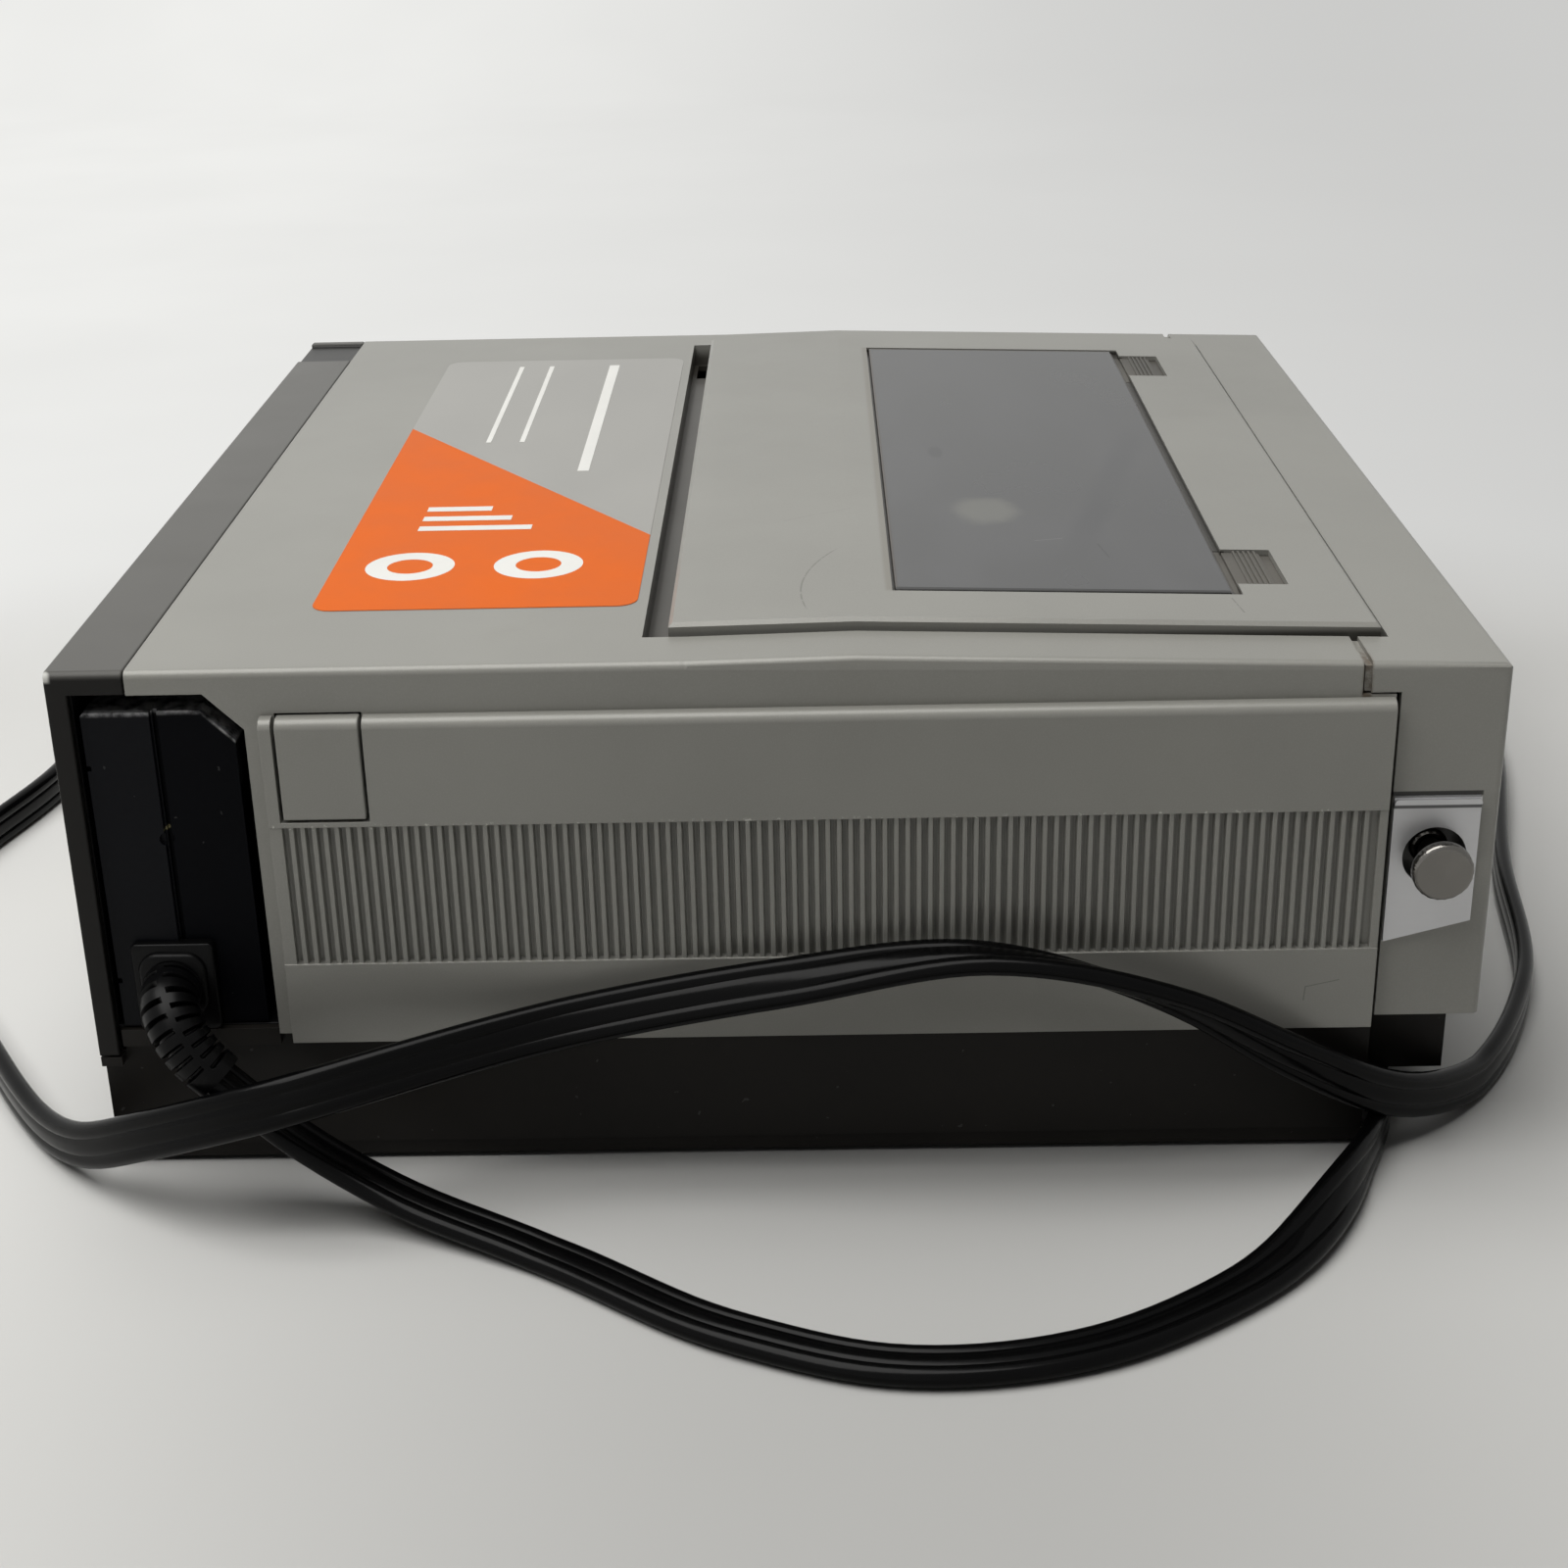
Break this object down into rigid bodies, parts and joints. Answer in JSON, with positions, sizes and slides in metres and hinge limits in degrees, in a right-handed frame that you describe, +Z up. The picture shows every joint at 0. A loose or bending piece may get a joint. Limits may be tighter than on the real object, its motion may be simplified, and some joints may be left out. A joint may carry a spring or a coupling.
{
  "type": "portable video cassette recorder",
  "caption": "Portable top-loading video cassette recorder with hinged cassette lid, ribbed side panels, strap studs and a mains adaptor in its battery bay.",
  "frame": {"origin": "On the floor under the middle of the machine, without its mains lead", "axes": "+X to the machine's right, +Y to its rear, +Z up; the keys are on the -Y side and the battery bay opens at -X"},
  "size_m": [0.4071, 0.4024, 0.1077],
  "materials": {
    "silver_paint": "fine satin silver-grey paint on moulded plastic",
    "dark_grey_paint": "satin dark grey paint",
    "base_black": "matte brownish black moulding",
    "adaptor_black": "satin blue-black moulding",
    "cord_black": "slightly glossy flexible black",
    "rubber_black": "matte black rubber",
    "bright_plate": "bright pressed plate",
    "chrome_stud": "polished chrome",
    "steel": "plain steel",
    "brass": "plated contact metal",
    "smoked_window": "smoked blue-grey plastic",
    "catch_grey": "dark warm grey moulding",
    "board_green": "lacquered circuit board",
    "drum_alloy": "fine turned alloy",
    "reel_black": "matte black moulding",
    "display_smoke": "dark glossy window",
    "key_silver": "satin silver paint on plastic",
    "key_red": "satin red paint on plastic"
  },
  "bodies": {
    "deck": {"base_tray": "base_black", "top_cover": "silver_paint", "front_frame": "silver_paint", "rear_frame": "dark_grey_paint", "left_side_panel": "silver_paint", "right_side_panel": "silver_paint", "left_strap_plate": "bright_plate", "left_strap_stud": "chrome_stud", "right_strap_plate": "bright_plate", "right_strap_stud": "chrome_stud", "rubber_feet": "rubber_black", "case_screws": "steel", "battery_bay": "base_black", "battery_contacts": "brass", "hinge_brackets": "steel", "holder_shaft": "steel", "chassis_plate": "steel", "main_circuit_board": "board_green", "lower_drum": "drum_alloy", "capstan_motor": "steel", "capstan_belt": "rubber_black", "tape_heads": "drum_alloy", "guide_posts": "steel", "connector_panel": "base_black", "phono_jacks": "chrome_stud", "display_window": "display_smoke"},
    "cassette_door": {"cassette_lid": "silver_paint", "lid_window": "smoked_window", "cassette_holder": "steel"},
    "left_catch": {"left_window_catch": "catch_grey"},
    "right_catch": {"right_window_catch": "catch_grey"},
    "power_pack": {"adaptor_rear_half": "adaptor_black", "adaptor_front_half": "adaptor_black", "strain_relief": "cord_black", "power_cord": "cord_black", "mains_plug": "cord_black", "plug_pins": "brass"},
    "eject_button": {"battery_eject_button": "silver_paint"},
    "pack_latch": {"battery_latch": "steel"},
    "head_drum": {"upper_drum": "drum_alloy"},
    "capstan": {"capstan_flywheel": "steel"},
    "motor_pulley": {"capstan_pulley": "brass"},
    "supply_reel": {"supply_reel_table": "reel_black"},
    "takeup_reel": {"takeup_reel_table": "reel_black"},
    "idler": {"reel_idler": "rubber_black"},
    "pinch_lever": {"pinch_arm": "steel"},
    "pinch_wheel": {"pinch_roller": "rubber_black"},
    "supply_slider": {"supply_guide": "steel"},
    "takeup_slider": {"takeup_guide": "steel"},
    "tracking": {"tracking_knob": "key_silver"},
    "power_key_body": {"power_key": "key_silver"},
    "eject_key_body": {"eject_key": "key_silver"},
    "rewind_key_body": {"rewind_key": "key_silver"},
    "stop_key_body": {"stop_key": "key_silver"},
    "play_key_body": {"play_key": "key_silver"},
    "forward_key_body": {"forward_key": "key_silver"},
    "record_key_body": {"record_key": "key_red"},
    "pause_key_body": {"pause_key": "key_silver"}
  },
  "joints": [
    {"name": "lid_hinge", "type": "hinge", "parent": "deck", "child": "cassette_door", "pos_m": [0, 0.016, 0.0985], "axis": [-1, 0, 0], "range_deg": [0, 28]},
    {"name": "left_catch_slide", "type": "slide", "parent": "cassette_door", "child": "left_catch", "axis": [0, -0.9995, -0.0305], "range_m": [0, 0.002], "stiffness_N_per_m": 150, "springref_m": -0.001},
    {"name": "right_catch_slide", "type": "slide", "parent": "cassette_door", "child": "right_catch", "axis": [0, -0.9995, -0.0305], "range_m": [0, 0.002], "stiffness_N_per_m": 150, "springref_m": -0.001},
    {"name": "pack_slide", "type": "slide", "parent": "deck", "child": "power_pack", "axis": [-1, 0, 0], "range_m": [0, 0.19]},
    {"name": "eject_button_press", "type": "slide", "parent": "deck", "child": "eject_button", "axis": [1, 0, 0], "range_m": [0, 0.0025], "stiffness_N_per_m": 300, "springref_m": -0.001},
    {"name": "pack_latch_slide", "type": "slide", "parent": "deck", "child": "pack_latch", "axis": [0, -1, 0], "range_m": [0, 0.002]},
    {"name": "drum_spin", "type": "hinge", "parent": "deck", "child": "head_drum", "pos_m": [0, 0.0485, 0.0456], "axis": [0, -0.0872, 0.9962], "continuous": true},
    {"name": "capstan_spin", "type": "hinge", "parent": "deck", "child": "capstan", "pos_m": [0.062, 0.0185, 0.035], "axis": [0, 0, 1], "continuous": true},
    {"name": "pulley_spin", "type": "hinge", "parent": "deck", "child": "motor_pulley", "pos_m": [0.098, 0.0405, 0.033], "axis": [0, 0, 1], "continuous": true},
    {"name": "supply_spin", "type": "hinge", "parent": "deck", "child": "supply_reel", "pos_m": [-0.046, -0.0495, 0.05], "axis": [0, 0, 1], "continuous": true},
    {"name": "takeup_spin", "type": "hinge", "parent": "deck", "child": "takeup_reel", "pos_m": [0.046, -0.0495, 0.05], "axis": [0, 0, 1], "continuous": true},
    {"name": "idler_spin", "type": "hinge", "parent": "deck", "child": "idler", "pos_m": [0, -0.0635, 0.05], "axis": [0, 0, 1], "continuous": true},
    {"name": "pinch_arm_swing", "type": "hinge", "parent": "deck", "child": "pinch_lever", "pos_m": [0.088, 0.0065, 0.05], "axis": [0, 0, 1], "range_deg": [0, 22]},
    {"name": "pinch_roller_spin", "type": "hinge", "parent": "pinch_lever", "child": "pinch_wheel", "pos_m": [0.0758, 0.0242, 0.066], "axis": [0, 0, 1], "continuous": true},
    {"name": "supply_guide_slide", "type": "slide", "parent": "deck", "child": "supply_slider", "axis": [-0.2696, 0.963, 0], "range_m": [0, 0.0519]},
    {"name": "takeup_guide_slide", "type": "slide", "parent": "deck", "child": "takeup_slider", "axis": [0.2696, 0.963, 0], "range_m": [0, 0.0519]},
    {"name": "tracking_turn", "type": "hinge", "parent": "deck", "child": "tracking", "pos_m": [-0.084, -0.1265, 0.048], "axis": [0, -1, 0], "range_deg": [-150, 150]},
    {"name": "power_key_press", "type": "slide", "parent": "deck", "child": "power_key_body", "axis": [0, 1, 0], "range_m": [0, 0.0015], "stiffness_N_per_m": 250, "springref_m": -0.001},
    {"name": "eject_key_press", "type": "slide", "parent": "deck", "child": "eject_key_body", "axis": [0, 1, 0], "range_m": [0, 0.0015], "stiffness_N_per_m": 250, "springref_m": -0.001},
    {"name": "rewind_key_press", "type": "slide", "parent": "deck", "child": "rewind_key_body", "axis": [0, 1, 0], "range_m": [0, 0.0015], "stiffness_N_per_m": 250, "springref_m": -0.001},
    {"name": "stop_key_press", "type": "slide", "parent": "deck", "child": "stop_key_body", "axis": [0, 1, 0], "range_m": [0, 0.0015], "stiffness_N_per_m": 250, "springref_m": -0.001},
    {"name": "play_key_press", "type": "slide", "parent": "deck", "child": "play_key_body", "axis": [0, 1, 0], "range_m": [0, 0.0015], "stiffness_N_per_m": 250, "springref_m": -0.001},
    {"name": "forward_key_press", "type": "slide", "parent": "deck", "child": "forward_key_body", "axis": [0, 1, 0], "range_m": [0, 0.0015], "stiffness_N_per_m": 250, "springref_m": -0.001},
    {"name": "record_key_press", "type": "slide", "parent": "deck", "child": "record_key_body", "axis": [0, 1, 0], "range_m": [0, 0.0015], "stiffness_N_per_m": 250, "springref_m": -0.001},
    {"name": "pause_key_press", "type": "slide", "parent": "deck", "child": "pause_key_body", "axis": [0, 1, 0], "range_m": [0, 0.0015], "stiffness_N_per_m": 250, "springref_m": -0.001}
  ],
  "couplings": [
    {"joint": "pulley_spin", "follows": "capstan_spin", "ratio": 4},
    {"joint": "takeup_guide_slide", "follows": "supply_guide_slide", "ratio": 1},
    {"joint": "pack_latch_slide", "follows": "eject_button_press", "ratio": 0.8}
  ]
}
